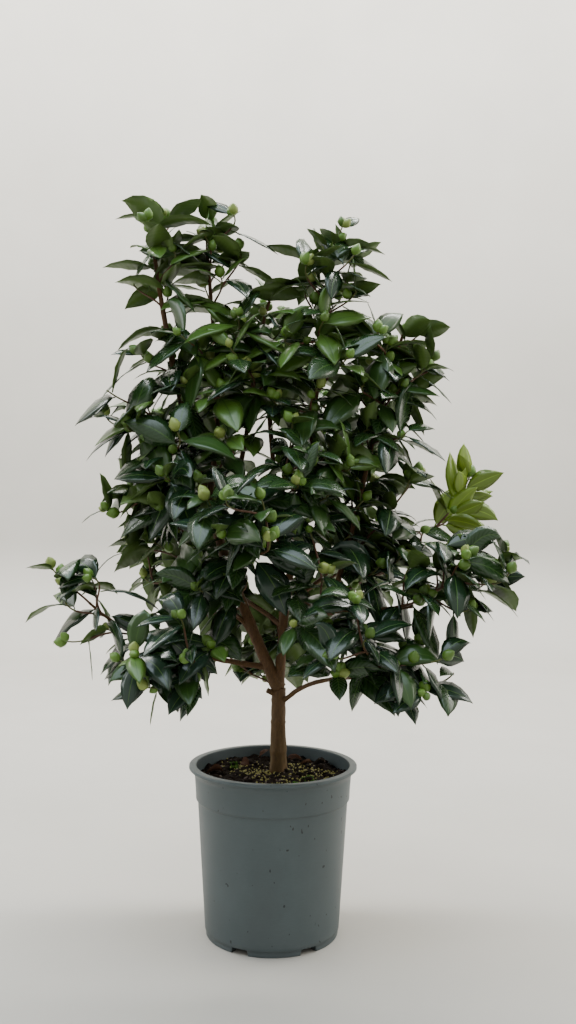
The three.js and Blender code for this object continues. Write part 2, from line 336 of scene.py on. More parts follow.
def maths(material, operation, *values):
    """The result of a Math node on these numbers or outputs."""
    made = material.node_tree.nodes.new("ShaderNodeMath")
    made.operation = operation
    for socket, value in zip(made.inputs, values):
        feed(socket, value)
    return made.outputs[0]


def in_place(material, stretch=(1, 1, 1)):
    """The piece's own coordinates in metres, stretched along each axis."""
    place = material.node_tree.nodes.new("ShaderNodeTexCoord").outputs["Object"]
    return node(material, "ShaderNodeMapping", Vector=place, Scale=stretch).outputs[0]


def noise(material, scale, stretch=(1, 1, 1), detail=4.0, roughness=0.55):
    """Fractal noise from 0 to 1 in the piece's own coordinates."""
    place = in_place(material, stretch)
    values = {"Vector": place, "Scale": scale, "Detail": detail, "Roughness": roughness}
    return node(material, "ShaderNodeTexNoise", **values).outputs["Fac"]


def ramp(material, value, stops):
    """Colours along a value: (place, colour) stops."""
    made = node(material, "ShaderNodeValToRGB", Fac=value)
    elements = made.color_ramp.elements
    while len(elements) < len(stops):
        elements.new(0.5)
    for element, (place, colour) in zip(elements, stops):
        element.position = place
        element.color = (*colour, 1)
    return made.outputs["Color"]


def shade(colour, factor):
    """A colour made darker or lighter by a factor."""
    return tuple(min(1.0, channel * factor) for channel in colour)


def blend_colours(colour, other, share):
    """The colour that lies a share of the way from one colour to another."""
    return tuple(a * (1 - share) + b * share for a, b in zip(colour, other))


def mix_colours(material, share, first, second):
    """A colour output blended towards a plain second colour by a share output."""
    mix = material.node_tree.nodes.new("ShaderNodeMix")
    mix.data_type = "RGBA"
    for name, value in (("Factor", share), ("A", first), ("B", (*second, 1))):
        feed(mix.inputs[name], value)
    return mix.outputs["Result"]


def set_bump(material, shader, height, strength, distance):
    """Relief from a height output. The distance is the depth of the full relief in metres."""
    bump = node(material, "ShaderNodeBump", Height=height, Strength=strength, Distance=distance)
    feed(shader.inputs["Normal"], bump.outputs["Normal"])


def set_rough(material, shader, value, low, high):
    """Roughness from low to high as the value goes from 0.3 to 0.7."""
    ends = {"From_Min": 0.3, "From_Max": 0.7, "To_Min": low, "To_Max": high}
    spread = node(material, "ShaderNodeMapRange", Value=value, **ends)
    feed(shader.inputs["Roughness"], spread.outputs[0])


def leaf_finish(name, colour, roughness, veins, wax=1.0):
    """A waxy leaf face in one plain colour. Side veins run out from the midrib to the tip: their height
    is a sine of (place along the leaf) - slant (distance from the midrib), and the wax is duller there."""
    slant, pairs, midrib = 0.7, 10, 2.5 / 7
    material, shader = shader_of(name, colour, roughness, 0.42 * wax, 0.15 * wax)
    place = material.node_tree.nodes.new("ShaderNodeUVMap")
    place.uv_map = LEAF_MAP
    axes = node(material, "ShaderNodeSeparateXYZ", Vector=place.outputs["UV"])
    aside = maths(material, "ABSOLUTE", maths(material, "SUBTRACT", axes.outputs["Y"], midrib))
    along = maths(material, "SUBTRACT", axes.outputs["X"], maths(material, "MULTIPLY", aside, slant))
    wave = maths(material, "SINE", maths(material, "MULTIPLY", along, 6.2 * pairs))
    quilt = maths(material, "MULTIPLY_ADD", wave, 0.5, 0.5)
    set_bump(material, shader, quilt, veins, 0.6 * MM)
    set_rough(material, shader, quilt, roughness * 0.94, roughness * 1.08)
    return material


def bark_finish(name, settings):
    """Smooth tan-brown bark: fine streaks along the limbs, and an olive bloom of algae that fades out
    above the compost."""
    material, shader = shader_of(name, settings.old_bark, 0.75, specular=0.3)
    streaks = noise(material, 900.0, (1, 1, 0.12), 6.0, 0.7)
    patches = noise(material, 60.0, (1, 1, 0.5), 3.0)
    young = blend_colours(settings.old_bark, settings.young_bark, 0.55)
    worn = blend_colours(young, settings.old_bark, 0.5)
    stops = [(0.3, shade(young, 0.5)), (0.5, worn), (0.72, shade(settings.old_bark, 1.9))]
    brown = ramp(material, streaks, stops)
    olive = blend_colours(settings.old_bark, (0.10, 0.09, 0.03), 0.7)
    height = node(material, "ShaderNodeSeparateXYZ", Vector=in_place(material)).outputs["Z"]
    fade = {"From_Min": 0.26, "From_Max": 0.42, "To_Min": 0.75, "To_Max": 0.0}
    low = node(material, "ShaderNodeMapRange", Value=height, **fade).outputs[0]
    bloom = maths(material, "MULTIPLY", low, patches)
    feed(shader.inputs["Base Color"], mix_colours(material, bloom, brown, olive))
    set_bump(material, shader, streaks, 0.5, 0.5 * MM)
    set_rough(material, shader, patches, 0.6, 0.85)
    return material


def twig_finish(name, colour):
    """Young wood: a plain colour with fine lengthwise streaks in its bump and gloss."""
    material, shader = shader_of(name, colour, 0.55, specular=0.4)
    streaks = noise(material, 1400.0, (1, 1, 0.25))
    set_bump(material, shader, streaks, 0.3, 0.3 * MM)
    set_rough(material, shader, streaks, 0.45, 0.65)
    return material


def bud_finish(name, colour):
    """Satin bud scales with a faint down."""
    material, shader = shader_of(name, colour, 0.42, specular=0.45)
    down = noise(material, 1800.0)
    set_bump(material, shader, down, 0.25, 0.2 * MM)
    set_rough(material, shader, down, 0.35, 0.5)
    return material


def plastic_finish(name, colour):
    """Matt moulded polypropylene with a fine grain, a little lighter where it is dusty and scuffed, and
    with a few dark specks of dirt."""
    material, shader = shader_of(name, colour, 0.5, specular=0.4)
    clouds = maths(material, "MULTIPLY", noise(material, 14.0, (1, 1, 0.6), 5.0), 0.7)
    scuffs = maths(material, "MULTIPLY", noise(material, 120.0, (1, 1, 4.0), 8.0, 0.7), 0.3)
    wear = maths(material, "ADD", clouds, scuffs)
    stops = [(0.35, shade(colour, 0.88)), (0.52, colour), (0.68, shade(colour, 1.16))]
    spots = noise(material, 130.0, (1, 1, 0.7), 1.0)
    specks = ramp(material, spots, [(0.735, (0, 0, 0)), (0.765, (1, 1, 1))])
    tone = mix_colours(material, specks, ramp(material, wear, stops), shade(colour, 0.3))
    feed(shader.inputs["Base Color"], tone)
    set_bump(material, shader, noise(material, 2200.0, detail=2.0), 0.12, 0.1 * MM)
    set_rough(material, shader, wear, 0.38, 0.58)
    return material


def compost_finish(name, colour):
    """Damp crumbly compost: near-black peat with browner fibres."""
    material, shader = shader_of(name, colour, 0.95, specular=0.06)
    crumbs = noise(material, 420.0, detail=8.0, roughness=0.7)
    stops = [(0.32, shade(colour, 0.35)), (0.52, colour), (0.7, shade(colour, 3.4))]
    feed(shader.inputs["Base Color"], ramp(material, crumbs, stops))
    set_bump(material, shader, crumbs, 0.9, 1.5 * MM)
    set_rough(material, shader, crumbs, 0.75, 0.95)
    return material


# ---- What the frame holds ----


def nodes_in(*slots):
    """The names of the CAD nodes in these material slots, in the record's order."""
    return [part["node"] for part in frame["record"]["subparts"] if part["material_slot"] in slots]


def is_young(mass):
    """Whether a mass is the pale young shoot."""
    return mass in nodes_in("young_leaf")


def mesh_points(name):
    """The corners of a CAD node's triangles, numbered as in its mesh."""
    mesh = frame["nodes"][name].data
    points = np.empty(len(mesh.vertices) * 3, np.float32)
    mesh.vertices.foreach_get("co", points)
    return points.reshape(-1, 3).astype(float)


def node_points(name):
    """A CAD node's own vertices, each once."""
    return np.unique(np.round(mesh_points(name), 5), axis=0)


def long_axis(points):
    """The mean of some points, and the upward direction in which they spread most."""
    middle = points.mean(0)
    axis = np.linalg.svd(points - middle, full_matrices=False)[2][0]
    return middle, axis if axis[2] > 0 else -axis


def limb_line(name):
    """The middle line of a CAD limb and its radius along it, from foot to tip. The line is the cubic
    along the limb's long axis that passes closest to its vertices, and the radius is the straight line
    that best fits their distances from it."""
    points = node_points(name)
    middle, axis = long_axis(points)
    along = (points - middle) @ axis
    cubic = np.polyfit(along, points, 3)
    reach = np.linalg.norm(points - powers_sum(cubic, along), axis=1)
    taper = np.polyfit(along, reach, 1)
    places = np.linspace(along.min(), along.max(), 40)
    return powers_sum(cubic, places), np.maximum(np.polyval(taper, places), 1 * MM)


def powers_sum(cubic, places):
    """a t^3 + b t^2 + c t + d for each place t, on each axis."""
    return (places[:, None] ** np.array([3, 2, 1, 0])) @ cubic


@functools.lru_cache
def limb_lines():
    """Every limb as (name, line, radius), with the foot of each bough carried on into its parent."""
    lines = [(name, *limb_line(name)) for name in nodes_in("bark")]
    joined = []
    for name, line, radius in lines:
        others = np.concatenate([other for key, other, _ in lines if key != name])
        away = np.linalg.norm(others - line[0], axis=1)
        if name != "trunk" and away.min() < 30 * MM:
            line = np.concatenate([others[away.argmin()][None], line])
            radius = np.concatenate([radius[:1], radius])
        joined.append((name, line, radius))
    return joined


# ---- Growing ----


@functools.lru_cache
def mass_shapes():
    """Each mass of foliage as (name, middle, directions of its vertices, their distances, litres)."""
    shapes = []
    for name in nodes_in("leaf", "young_leaf"):
        points = node_points(name)
        middle = (points.min(0) + points.max(0)) / 2
        spokes = points - middle
        shapes.append((name, middle, unit(spokes), np.linalg.norm(spokes, axis=1), mass_litres(name)))
    return shapes


def mass_litres(name):
    """The volume inside a CAD node, from its triangles: the sum of a . (b x c) / 6."""
    mesh = frame["nodes"][name].data
    mesh.calc_loop_triangles()
    corners = np.empty(len(mesh.loop_triangles) * 3, np.int32)
    mesh.loop_triangles.foreach_get("vertices", corners)
    a, b, c = mesh_points(name)[corners.reshape(-1, 3)].transpose(1, 0, 2)
    return abs((a * np.cross(b, c)).sum() / 6) * 1000


def in_crown(points, slack=8 * MM):
    """Which of the points lie inside any mass, or less than the slack outside it."""
    inside = np.zeros(len(points), bool)
    for _, middle, ways, lengths, _ in mass_shapes():
        spokes = points - middle
        nearest = (spokes @ ways.T).argmax(1)
        inside |= np.linalg.norm(spokes, axis=1) < lengths[nearest] + slack
    return inside


SPREAD_ASIDE = 40 * MM  # how far leaves reach past the tip of their shoot, to the side
SPREAD_ABOVE = 13 * MM  # and above it
SHOOT_STEPS = 14
LEAST_SHARE, SKIN_SHARE = 0.6, 0.74  # of the room round a tip that is inside the crown
TRIES_PER_LITRE = 80  # random places that are tried for a shoot's tip in each litre of a mass
YOUNG_TIPS = (0.5, 0.05, -0.4)  # the pale shoot's tips, as shares of its half length from its middle


def room_around(points):
    """The share of a ring of eight places round each point, as wide as its leaves would spread, that is
    inside the crown, and whether the crown goes on above it."""
    angles = around_circle(8)
    ring = np.stack([np.cos(angles), np.sin(angles), 0 * angles - 0.15], -1) * SPREAD_ASIDE
    places = (points[:, None] + ring).reshape(-1, 3)
    return in_crown(places).reshape(-1, 8).mean(1), in_crown(points + UP * SPREAD_ABOVE)


def shoot_tips(spacing, rng):
    """The place, growing direction and mass of each shoot's tip. The middle of each mass and random places
    in it are taken in turn if their leaves would stay in the crown and no tip is nearer than the spacing.
    Places near the skin of the crown, where SKIN_SHARE of the room is inside it, mostly come first."""
    points, owners = [], []
    for name, middle, ways, lengths, litres in mass_shapes():
        if is_young(name):
            continue
        count = round(litres * TRIES_PER_LITRE)
        out = unit(rng.normal(size=(count, 3)))
        reach = lengths[(out @ ways.T).argmax(1)] * rng.uniform(0, 1, count) ** (1 / 3)
        points += [middle + out * reach[:, None], middle[None]]
        owners += [name] * (count + 1)
    points = np.concatenate(points)
    share, above = room_around(points)
    fits = (share >= LEAST_SHARE) & above
    turn = np.abs(share - SKIN_SHARE) + rng.uniform(0, 0.3, len(points))
    order = np.argsort(np.where(fits, turn, np.inf))
    taken = []
    for number in order[: fits.sum()]:
        if not taken or np.linalg.norm(points[taken] - points[number], axis=1).min() > spacing:
            taken.append(number)
    tips = points[taken]
    away = unit(tips * np.array([1, 1, 0]))
    climb = 0.35 + 0.9 * np.clip((tips[:, 2:] - 0.45) / 0.6, 0, 1)
    ways = unit(climb * UP + 0.62 * away + 0.24 * rng.normal(size=tips.shape))
    young = [young_tip(name, share) for name in nodes_in("young_leaf") for share in YOUNG_TIPS]
    tips = np.concatenate([tips, [tip for tip, _, _ in young]])
    ways = np.concatenate([ways, [way for _, way, _ in young]])
    return tips, ways, [owners[number] for number in taken] + [name for _, _, name in young]


def young_tip(name, share):
    """A tip on the long axis of a mass, at a share of its half length from the middle."""
    points = node_points(name)
    middle, axis = long_axis(points)
    return middle + axis * share * ((points - middle) @ axis).max(), axis, name


def cheapest_start(tip, points, headings):
    """Where a shoot to this tip leaves the wood: the number of the point that costs least, and the way
    and distance from there. The cost is the distance, more where the shoot would have to turn back on
    its parent or grow down, and much more where it would be shorter than 65 mm."""
    gap = tip - points
    distance = np.linalg.norm(gap, axis=1)
    turn = 1 - (gap * headings).sum(1) / np.maximum(distance, 1e-6)
    fall = np.maximum(0, -gap[:, 2]) / np.maximum(distance, 1e-6)
    cost = distance * (1 + 0.55 * turn + 0.9 * fall) + 1.4 * np.maximum(0, 65 * MM - distance)
    start = cost.argmin()
    return start, unit(gap[start]), distance[start]


def set_radii(shoots):
    """Makes each shoot as thick at its foot as what it carries: 1 + 0.75 sqrt(shoots) millimetres."""
    loads = np.ones(len(shoots))
    for number in range(len(shoots) - 1, -1, -1):
        if shoots[number]["parent"] >= 0:
            loads[shoots[number]["parent"]] += loads[number]
    for shoot, load in zip(shoots, loads):
        shoot["radius"] = (1.0 + 0.75 * math.sqrt(load)) * MM


@functools.lru_cache
def grown_shrub(seed, spacing):
    """Grows every shoot from the limbs on a cubic curve. The shoots nearest to the limbs grow first, and
    each one leaves the limbs, or the shoots that stand already, where that costs least."""
    rng = np.random.default_rng(seed)
    tips, ways, masses = shoot_tips(spacing, rng)
    wood = [line[3:] for _, line, _ in limb_lines() if len(line) > 3]
    points = np.concatenate(wood)
    headings = np.concatenate([unit(np.gradient(line, axis=0)) for line in wood])
    owners = np.full(len(points), -1)
    nearest = np.linalg.norm(tips[:, None] - points, axis=2).min(1)
    shares = np.linspace(0, 1, SHOOT_STEPS)
    bears = slice(3, SHOOT_STEPS - 4)  # the stretch of a shoot that others can leave
    shoots = []
    for order in np.argsort(nearest):
        tip, way = tips[order], ways[order]
        start, toward, length = cheapest_start(tip, points, headings)
        foot = points[start]
        leave = unit(0.55 * headings[start] + toward + 0.15 * rng.normal(size=3))
        path = bezier(foot, foot + 0.36 * length * leave, tip - 0.4 * length * way, tip, shares)
        shoots.append({"path": path, "mass": masses[order], "parent": int(owners[start])})
        points = np.concatenate([points, path[bears]])
        headings = np.concatenate([headings, unit(np.gradient(path, axis=0))[bears]])
        owners = np.concatenate([owners, np.full(len(path[bears]), len(shoots) - 1)])
    set_radii(shoots)
    return shoots


# How far behind a stem's tip its leaves sit.
LEAF_GAPS = np.array([1, 4, 9, 17, 28, 41, 56, 73, 92, 113, 136, 160, 186]) * MM
YOUNG_GAPS = np.array([1, 5, 13, 24, 36, 49, 62, 76, 90, 105, 121]) * MM


def leafy_stems(foliage):
    """The stems that bear leaves, as (path, mass, leafy length): every shoot, and each leader's top."""
    shoots = grown_shrub(foliage.seed, round(foliage.shoot_spacing, 6))
    rng = np.random.default_rng(foliage.seed + 5)
    stems = []
    for shoot in shoots:
        leafy = rng.uniform(70, 115) * MM
        stems.append((shoot["path"], shoot["mass"], 170 * MM if is_young(shoot["mass"]) else leafy))
    middles = np.array([shape[1] for shape in mass_shapes()])
    for name, line, _ in limb_lines():
        if name.endswith("leader"):
            end = lengths_along(line)[-1]
            top = at_length(line, np.linspace(end - 210 * MM, end, SHOOT_STEPS))
            nearest = np.linalg.norm(middles - top[-1], axis=1).argmin()
            stems.append((top, mass_shapes()[nearest][0], 190 * MM))
    return stems


def spray_seats(foliage, path, mass, leafy, rng):
    """Where each leaf of one stem sits and how it lies, as a dictionary of arrays. Leaves climb the stem
    a golden angle apart, closer together towards its tip. A leaf leaves the stem at 36 to 89 degrees,
    faces the sky, the stem's own tip and away from the trunk, and sags more the lower it sits. Those of
    the young shoot lie in two rows that face the light."""
    young = is_young(mass)
    length, width, droop = (0.84, 0.95, 0.3) if young else (1, 1, 1)
    tip = lengths_along(path)[-1]
    back = YOUNG_GAPS if young else LEAF_GAPS * rng.uniform(0.85, 1.15)
    back = back[back < min(tip * 0.88, leafy)]
    count = len(back)
    rank = np.arange(count)
    feet = at_length(path, tip - back)
    axis = unit(at_length(path, tip - back + 4 * MM) - at_length(path, tip - back - 4 * MM))
    across = square_to(np.broadcast_to([1.0, 0.13, 0.02], axis.shape), axis)
    turn = rng.uniform(0, 2 * math.pi) + rank * GOLDEN_ANGLE + rng.normal(0, 0.18, count)
    radial = turned(turn, across, np.cross(axis, across))
    radial = unit(radial - 0.6 * (1 - np.abs(axis[:, 2:])) * radial[:, 2:] * UP)
    lean = np.radians(rng.uniform(36, 54, count) + np.minimum(rank, 5) * 7)
    face = 0.5 * axis + 0.75 * UP + 0.35 * unit(feet * np.array([1, 1, 0]))
    if young:
        rows = np.cross(axis, TO_LIGHT) * np.where(rank % 2, 1, -1)[:, None]
        radial = unit(rows + 0.35 * TO_LIGHT + 0.3 * rng.normal(size=(count, 3)))
        lean = np.radians(rng.uniform(30, 52, count))
        face = TO_LIGHT + 0.25 * UP
    face = unit(face + 0.33 * rng.normal(size=(count, 3)))
    growth = np.minimum(1, 0.64 + 0.12 * rank) * rng.normal(1, 0.12, count)
    sag = rng.uniform(0.5, 1.35, count) + 0.09 * np.minimum(rank, 6)
    return {
        "foot": feet + radial * 1.2 * MM,
        "way": unit(turned(lean, axis, radial)),
        "face": face,
        "length": foliage.leaf_length * np.clip(growth, 0.5, 1.15) * length,
        "width": np.full(count, foliage.leaf_width * width),
        "sag": sag * (1 - 0.4 * ease(0.65, 1.05, feet[:, 2])) * droop,
        "fold": rng.uniform(0.06, 0.34, count),
        "mass": np.full(count, mass),
        "rank": rank,
    }


def leaf_seats(foliage):
    """The seats of all the leaves, with the number of the spray that each one belongs to."""
    rng = np.random.default_rng(foliage.seed + 1)
    sprays = []
    for number, stem in enumerate(leafy_stems(foliage)):
        seats = spray_seats(foliage, *stem, rng)
        sprays.append({**seats, "spray": np.full(len(seats["rank"]), number)})
    return {key: np.concatenate([seats[key] for seats in sprays]) for key in sprays[0]}


MIDRIB_STEPS = 40
RING_STEPS = np.array([1, 3, 6, 10, 15, 21, 27, 33, 37])  # the midrib's steps that have a ring round them
RING_PLACES = RING_STEPS / MIDRIB_STEPS
STALK = 0.12  # the share of a leaf's length that is stalk
SECTION = np.array([1, 0.5, 0.045, -0.045, -0.5, -1, 0])  # round the blade, from edge to edge and back
ON_TOP = np.array([0, 1, 1, 1, 1, 0, -1.3])  # how far each of these lies above the blade's middle


def leaf_blades(seats, seed):
    """Closed leaf shells, one for each seat: a thin lens of a section carried along the midrib.
    The midrib runs along unit(way + sag u^1.3 down). The half width of the blade at its share x is
    sin(pi x^0.8)^0.85, pinched by up to 35 % at the drawn-out tip. The halves rise from the midrib by
    fold |v| and curl down again by 0.24 v^2 of the half width, and the edge waves a little."""
    rng = np.random.default_rng(seed)
    count = len(seats["length"])
    shares = np.arange(MIDRIB_STEPS + 1) / MIDRIB_STEPS
    down = -UP * (seats["sag"][:, None] * shares**1.3)[..., None]
    twist = np.cross(seats["way"], seats["face"]) * rng.normal(0, 0.25, (count, 1))
    ways = unit(seats["way"][:, None] + down + twist[:, None] * shares[:, None] ** 2)
    steps = ways * (seats["length"] / MIDRIB_STEPS)[:, None, None]
    midrib = seats["foot"][:, None] + np.cumsum(steps, 1) - steps
    centre, tangent = midrib[:, RING_STEPS], ways[:, RING_STEPS]
    side = np.cross(seats["face"], seats["way"])
    side = square_to(np.broadcast_to(side[:, None], tangent.shape), tangent)
    top = np.cross(tangent, side)
    blade = np.clip((RING_PLACES - 0.08) / 0.92, 0, 1)
    half = np.sin(math.pi * blade**0.8) ** 0.85 * (1 - 0.35 * ease(0.78, 0.97, blade))
    half = half * (seats["length"] * seats["width"] / 2 * rng.normal(1, 0.07, count))[:, None]
    half = np.maximum(half, 1.2 * MM)
    v = SECTION
    wave = 0.05 * np.sin(RING_PLACES * 17 + rng.uniform(0, 6.3, (count, 1)))[..., None] * v**3
    lift = seats["fold"][:, None, None] * np.abs(v) - 0.24 * v**2 + wave
    on_stalk = (RING_PLACES < STALK)[:, None]
    thick = ON_TOP * np.where(on_stalk, 0.9, 0.28) * MM
    across = half[..., None] * v
    through = half[..., None] * lift * ~on_stalk + thick
    rings = centre[:, :, None] + across[..., None] * side[:, :, None]
    rings = rings + through[..., None] * top[:, :, None]
    return np.concatenate([rings.reshape(count, -1, 3), midrib[:, :1], midrib[:, -1:]], 1)


LEAF_SLACK = 22 * MM  # how far a leaf may reach out of the masses
BOX_SLACK = 14 * MM  # and out of the CAD model's box


def tips_fit(blades):
    """Which of the shells have their tip in the crown, or at most LEAF_SLACK out of it."""
    return in_crown(blades[:, -1] + 6 * MM * UP, LEAF_SLACK)


def kept_blades(seats, seed):
    """The shells whose tips stay in the crown, and which of the seats they are on. A leaf that would
    reach too far out is a sixth shorter, and one that still does is left out."""
    seats["length"][~tips_fit(leaf_blades(seats, seed))] *= 0.84
    blades = leaf_blades(seats, seed)
    low, high = np.array(cad_box[0]) - BOX_SLACK, np.array(cad_box[1]) + BOX_SLACK
    kept = ((blades > low) & (blades < high)).all((1, 2)) & tips_fit(blades)
    return blades[kept], kept


def leaf_faces(top_slots, rib_slots, under_slots):
    """The faces of the shells, with each face's slot and its corners' place on the leaf map."""
    count, rings, sides = len(top_slots), len(RING_PLACES), len(SECTION)
    kinds = np.array([0, 0, 1, 0, 0, 2, 2])  # top, rib and underside, round the blade
    side_slots = np.stack([top_slots, rib_slots, under_slots])[kinds].T
    slots = [np.tile(side_slots, (1, rows)).ravel() for rows in (rings - 1, 2)]
    ring, side = cells(rings - 1, sides)
    low, high = RING_PLACES[ring], RING_PLACES[ring + 1]
    a, b = side / sides, (side + 1) / sides
    wall = np.stack([low, a, low, b, high, b, high, a], -1).reshape(-1, 4, 2)
    start = np.arange(sides) / sides
    middle, end = start + 0.5 / sides, start + 1 / sides
    first, last = 0 * start + RING_PLACES[0], 0 * start + RING_PLACES[-1]
    foot = np.stack([0 * start, middle, first, end, first, start], -1)
    tip = np.stack([0 * start + 1, middle, last, start, last, end], -1)
    fans = np.concatenate([foot, tip]).reshape(-1, 3, 2)
    uvs = [np.tile(corners, (count, 1, 1)) for corners in (wall, fans)]
    return list(tube_faces(count, rings, sides)), slots, uvs


BUD_RINGS, BUD_SIDES = 8, 12


def bud_points(centres, ways, sizes):
    """Round green buds with overlapping scales, a fifth longer than they are wide. At share t of its
    length the bud's radius is sin(pi t^0.85)^0.7 of half its size, and three scales climb round it in a
    spiral, each standing out by up to 14 % before it tucks under the next."""
    shares = (np.arange(BUD_RINGS) + 0.45) / (BUD_RINGS - 0.1)
    paths = centres[:, None] + ways[:, None] * ((shares - 0.5)[:, None] * 1.2 * sizes[:, None, None])
    bulge = np.sin(math.pi * shares**0.85) ** 0.7
    scale = (3 * np.arange(BUD_SIDES) / BUD_SIDES + 2.2 * shares[:, None]) % 1
    radii = sizes[:, None, None] / 2 * bulge[:, None] * (0.91 + 0.14 * scale**2)
    points = tube_points(paths, radii, BUD_SIDES)
    ends = np.array([-0.5, 0.52]) * 1.2 * sizes[:, None]
    points[:, -2:] = centres[:, None] + ways[:, None] * ends[..., None]
    return points


def bud_seats(foliage):
    """The middle, direction and size of each flower bud: a cluster at the tip of most stems, and a few
    more in the leaf axils below it."""
    rng = np.random.default_rng(foliage.seed + 2)
    centres, ways, sizes = [], [], []
    for path, mass, _ in leafy_stems(foliage):
        young = is_young(mass)
        cluster = 1 if young else rng.choice([0, 1, 2, 3, 4], p=[0.14, 0.30, 0.3, 0.18, 0.08])
        below = 0 if young else rng.choice([0, 1, 2], p=[0.55, 0.3, 0.15])
        rank = np.arange(cluster + below)
        axis = unit(path[-1] - path[-2])
        turn = rng.uniform(0, 2 * math.pi) + rank * GOLDEN_ANGLE
        across = unit(np.cross(axis, [0.3, 1.0, 0.1]))
        radial = turned(turn, across, np.cross(axis, across))
        back = np.concatenate([rng.uniform(0, 4, cluster), rng.uniform(14, 45, below)]) * MM
        lean = np.where(rank < cluster, 0.55 if cluster > 1 else 0.1, 0.9)
        way = unit(axis * 0.8 + radial * lean[:, None] + 0.2 * UP)
        size = foliage.bud_size * rng.uniform(0.78, 1.2, cluster + below)
        foot = at_length(path, lengths_along(path)[-1] - back)
        centres.append(foot + way * (0.62 * size + 1.5 * MM)[:, None])
        ways.append(way)
        sizes.append(size)
    return np.concatenate(centres), np.concatenate(ways), np.concatenate(sizes)


# ---- Pot and compost ----


def arc(centre, radius, start, end, count):
    """Points (r, z) on an arc of a circle between two angles in degrees."""
    angles = np.radians(np.linspace(start, end, count))
    return [(centre[0] + radius * math.cos(a), centre[1] + radius * math.sin(a)) for a in angles]


def pot_profile(rim, height, wall, lip, foot):
    """The pot's section in millimetres, from the middle of its underside out and up round the lip and
    down the inner wall to the middle of its floor."""
    collar = rim - 9  # the radius just under the lip's flare
    step = 208  # the height of the step where the collar starts
    base = 102.8  # the radius that the straight wall would have at the ground
    flare = 14  # the height of the flare from the collar to the lip
    curve = height - lip - flare  # where the flare starts
    floor = foot + 3

    def outer(z):
        """The radius of the straight wall at a height."""
        return base + (collar - 4.7 - base) * z / step

    ring = outer(foot) - 1.2
    under = outer(step - 8)
    section = [(0, 0), (12, 0), (24.5, 0)]
    section += arc((24.8, 1.2), 1.2, -90, 0, 4) + arc((27.2, foot - 1.2), 1.2, 180, 90, 4)
    section += [(r, foot) for r in (40, 55, 70, 82)]
    section += arc((ring - 13.5, foot - 0.8), 0.8, 90, 0, 3) + arc((ring - 11.6, 1), 1, 180, 270, 4)
    section += [(ring - 6, 0)] + arc((ring - 1.4, 1), 1, -90, 0, 4)
    section += [(ring - 0.2, foot * 0.5), (ring, foot - 0.3), (outer(foot) - 0.4, foot + 0.2)]
    section += [(outer(z), z) for z in np.concatenate([[foot + 0.9], np.linspace(14, step - 9, 22)])]
    section += [(under + 0.1, step - 4), (under + 0.4, step - 2.6), (under + 1.2, step - 1.8)]
    section += [(under + 2.6, step - 1.2), (under + 3.1, step - 0.5), (under + 3.2, step + 0.8)]
    section += [(collar - 1.4, step + 14), (collar - 0.4, curve - 5)]
    for share in np.linspace(0.05, 1, 8):
        section.append((collar + (rim - 0.8 - collar) * share**2.2, curve + flare * share))
    section += arc((rim - 0.9, height - lip + 0.9), 0.9, -60, 0, 3)
    section += arc((rim - 1.6, height - 1.6), 1.6, 0, 90, 6)
    section += arc((collar - wall + 1.6, height - 1.6), 1.6, 90, 180, 5)
    section += [(collar - wall - 0.2, height - 8), (collar - wall - 1.6, step + 14)]
    section += [(under + 0.6 - wall, step + 2)]
    section += [(outer(z) - wall, z) for z in (step - 6, 150, 90, 40, foot + 5)]
    section += [(outer(foot) - wall - 2, floor), (80, floor), (40, floor), (0, floor)]
    return np.array(section)


NOTCHES = 6
FIRST_NOTCH = -57  # degrees round the pot from +X
NOTCH_REACH = (6.9, 7.9)  # degrees from a notch's middle to the foot and the top of its slanting side


def pot_mesh(settings, around=360):
    """The pot: its profile turned about Z, with the foot ring raised to the floor at each notch."""
    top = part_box("pot")[1]
    rim, height = (top.x + top.y) / 2 / MM, top.z / MM
    wall, lip, foot = settings.wall / MM, settings.lip / MM, settings.foot / MM
    profile = pot_profile(rim, height, wall, lip, foot)[1:-1]
    spacing = 360 / NOTCHES
    degrees = np.degrees(around_circle(around))
    from_notch = np.abs((degrees - FIRST_NOTCH + spacing / 2) % spacing - spacing / 2)
    notch = 1 - ease(*NOTCH_REACH, from_notch)
    radii = np.repeat(profile[:, :1], around, 1)
    heights = np.repeat(profile[:, 1:], around, 1)
    on_ring = (profile[:, :1] > 80) & (profile[:, 1:] < foot)
    lifted = foot - 0.04 * (foot - heights)
    heights = np.where(on_ring, heights + notch * (lifted - heights), heights)
    return round_surface(radii, heights, around) * MM, list(tube_faces(1, len(radii), around))


COMPOST_EDGE, COMPOST_CROWN = 241.0 * MM, 245.5 * MM  # heights at the wall and round the trunk
CLODS = ((1.7, 38, 3), (1.1, 13, 4), (0.45, 5, 5))  # (height, size, seed) in millimetres


def compost_height(x, y):
    """Height of the compost: it rises a little from the wall to the trunk, with clods of three sizes
    that flatten out under the trunk."""
    reach = np.hypot(x, y)
    rise = (COMPOST_CROWN - COMPOST_EDGE) * (1 - ease(20 * MM, 112 * MM, reach))
    place = np.stack([x, y, 0 * x], -1)
    clods = sum(height * ripples(place, size * MM, seed) for height, size, seed in CLODS)
    return COMPOST_EDGE + rise + clods * MM * (0.35 + 0.65 * ease(14 * MM, 40 * MM, reach))


